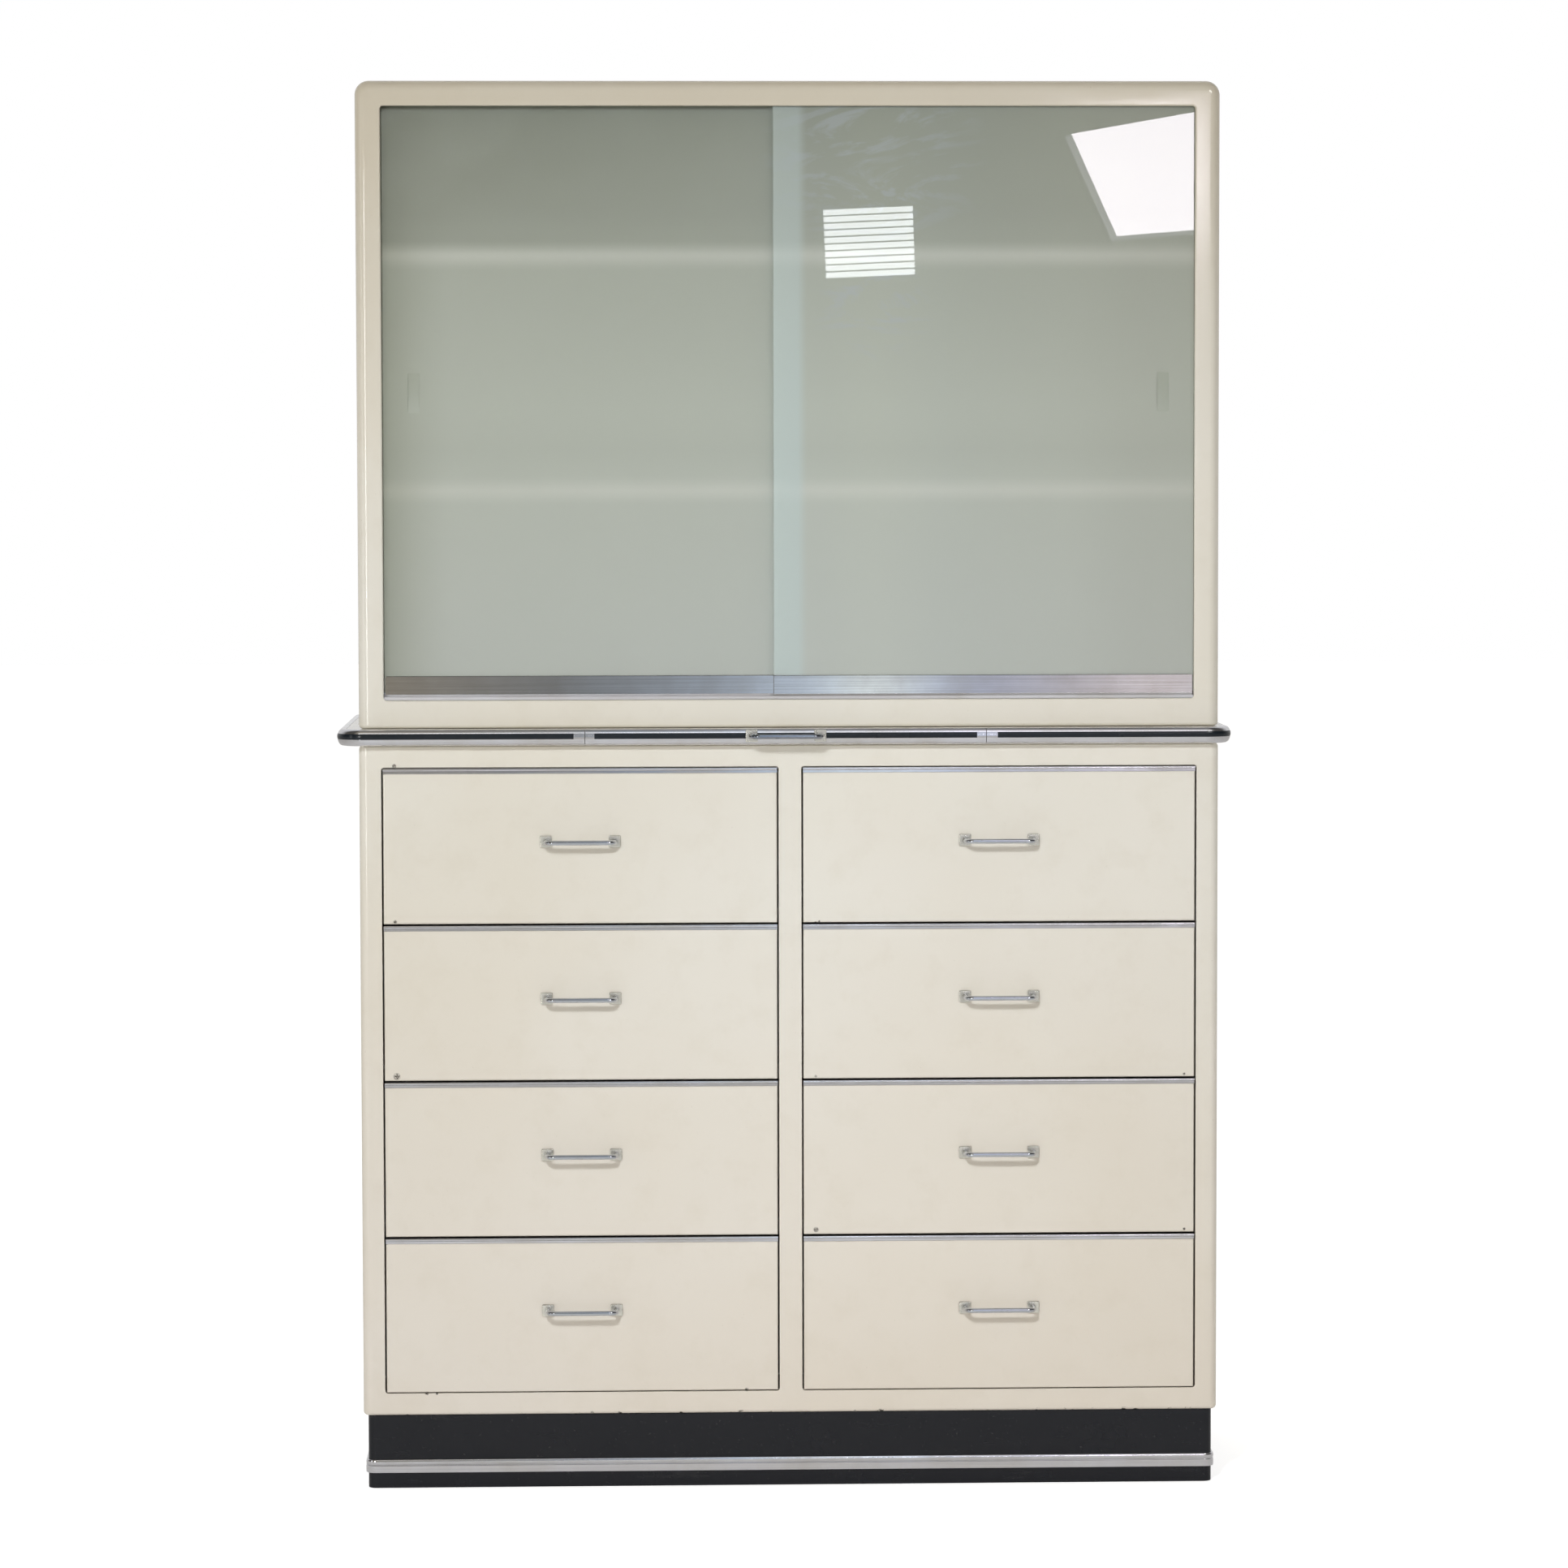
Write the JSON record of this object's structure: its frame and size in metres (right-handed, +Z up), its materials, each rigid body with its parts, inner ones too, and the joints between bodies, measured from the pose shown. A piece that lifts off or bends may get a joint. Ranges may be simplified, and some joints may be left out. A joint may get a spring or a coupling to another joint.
{
  "type": "doctor's cabinet",
  "caption": "Enamelled steel doctor's cabinet: a display case with sliding frosted-glass doors on a ledge with a pull-out slide, over two columns of drawers on a plinth.",
  "frame": {"origin": "on the floor, under the middle of the cabinet's bounding box", "axes": "+Z up; the doors and drawers face -Y; +X is to the right as one faces the cabinet"},
  "size_m": [1.2058, 0.4764, 1.8969],
  "materials": {
    "cream_enamel": "glossy stoved enamel, aged",
    "tray_enamel": "satin enamel",
    "black_lacquer": "glossy black lacquer, scuffed",
    "black_inlay": "glossy black",
    "bright_aluminium": "polished",
    "brushed_aluminium": "brushed lengthways",
    "chrome": "polished",
    "frosted_glass": "frosted inside, glossy outside",
    "zinc_steel": "zinc-plated"
  },
  "bodies": {
    "cabinet": {"plinth": "black_lacquer", "plinth_trim": "bright_aluminium", "lower_case": "cream_enamel", "lower_back_panel": "cream_enamel", "upper_case": "cream_enamel", "upper_back_panel": "cream_enamel", "centre_partition": "zinc_steel", "runner_rack_left": "zinc_steel", "runner_rack_right": "zinc_steel", "door_track_bottom": "bright_aluminium", "door_track_top": "brushed_aluminium", "shelf_lower": "cream_enamel", "shelf_upper": "cream_enamel", "shelf_support_left": "zinc_steel", "shelf_support_right": "zinc_steel", "ledge_body": "cream_enamel", "ledge_moulding_left": "bright_aluminium", "ledge_inlay_left": "black_inlay", "ledge_moulding_right": "bright_aluminium", "ledge_inlay_right": "black_inlay"},
    "slide": {"slide_board": "cream_enamel", "slide_moulding": "bright_aluminium", "slide_inlay": "black_inlay", "slide_handle": "chrome"},
    "door_left": {"glass_door_left": "frosted_glass", "door_rail_left": "brushed_aluminium"},
    "door_right": {"glass_door_right": "frosted_glass", "door_rail_right": "brushed_aluminium"},
    "drawer_left_1": {"drawer_left_1_front": "cream_enamel", "drawer_left_1_tray": "tray_enamel", "drawer_left_1_strip": "bright_aluminium", "drawer_left_1_handle": "chrome"},
    "drawer_left_2": {"drawer_left_2_front": "cream_enamel", "drawer_left_2_tray": "tray_enamel", "drawer_left_2_strip": "bright_aluminium", "drawer_left_2_handle": "chrome"},
    "drawer_left_3": {"drawer_left_3_front": "cream_enamel", "drawer_left_3_tray": "tray_enamel", "drawer_left_3_strip": "bright_aluminium", "drawer_left_3_handle": "chrome"},
    "drawer_left_4": {"drawer_left_4_front": "cream_enamel", "drawer_left_4_tray": "tray_enamel", "drawer_left_4_strip": "bright_aluminium", "drawer_left_4_handle": "chrome"},
    "drawer_right_1": {"drawer_right_1_front": "cream_enamel", "drawer_right_1_tray": "tray_enamel", "drawer_right_1_strip": "bright_aluminium", "drawer_right_1_handle": "chrome"},
    "drawer_right_2": {"drawer_right_2_front": "cream_enamel", "drawer_right_2_tray": "tray_enamel", "drawer_right_2_strip": "bright_aluminium", "drawer_right_2_handle": "chrome"},
    "drawer_right_3": {"drawer_right_3_front": "cream_enamel", "drawer_right_3_tray": "tray_enamel", "drawer_right_3_strip": "bright_aluminium", "drawer_right_3_handle": "chrome"},
    "drawer_right_4": {"drawer_right_4_front": "cream_enamel", "drawer_right_4_tray": "tray_enamel", "drawer_right_4_strip": "bright_aluminium", "drawer_right_4_handle": "chrome"}
  },
  "joints": [
    {"name": "slide_pull", "type": "slide", "parent": "cabinet", "child": "slide", "axis": [0, -1, 0], "range_m": [0, 0.3]},
    {"name": "door_left_slide", "type": "slide", "parent": "cabinet", "child": "door_left", "axis": [1, 0, 0], "range_m": [0, 0.52]},
    {"name": "door_right_slide", "type": "slide", "parent": "cabinet", "child": "door_right", "axis": [1, 0, 0], "range_m": [-0.52, 0]},
    {"name": "drawer_left_1_slide", "type": "slide", "parent": "cabinet", "child": "drawer_left_1", "axis": [0, -1, 0], "range_m": [0, 0.3]},
    {"name": "drawer_left_2_slide", "type": "slide", "parent": "cabinet", "child": "drawer_left_2", "axis": [0, -1, 0], "range_m": [0, 0.3]},
    {"name": "drawer_left_3_slide", "type": "slide", "parent": "cabinet", "child": "drawer_left_3", "axis": [0, -1, 0], "range_m": [0, 0.3]},
    {"name": "drawer_left_4_slide", "type": "slide", "parent": "cabinet", "child": "drawer_left_4", "axis": [0, -1, 0], "range_m": [0, 0.3]},
    {"name": "drawer_right_1_slide", "type": "slide", "parent": "cabinet", "child": "drawer_right_1", "axis": [0, -1, 0], "range_m": [0, 0.3]},
    {"name": "drawer_right_2_slide", "type": "slide", "parent": "cabinet", "child": "drawer_right_2", "axis": [0, -1, 0], "range_m": [0, 0.3]},
    {"name": "drawer_right_3_slide", "type": "slide", "parent": "cabinet", "child": "drawer_right_3", "axis": [0, -1, 0], "range_m": [0, 0.3]},
    {"name": "drawer_right_4_slide", "type": "slide", "parent": "cabinet", "child": "drawer_right_4", "axis": [0, -1, 0], "range_m": [0, 0.3]}
  ]
}
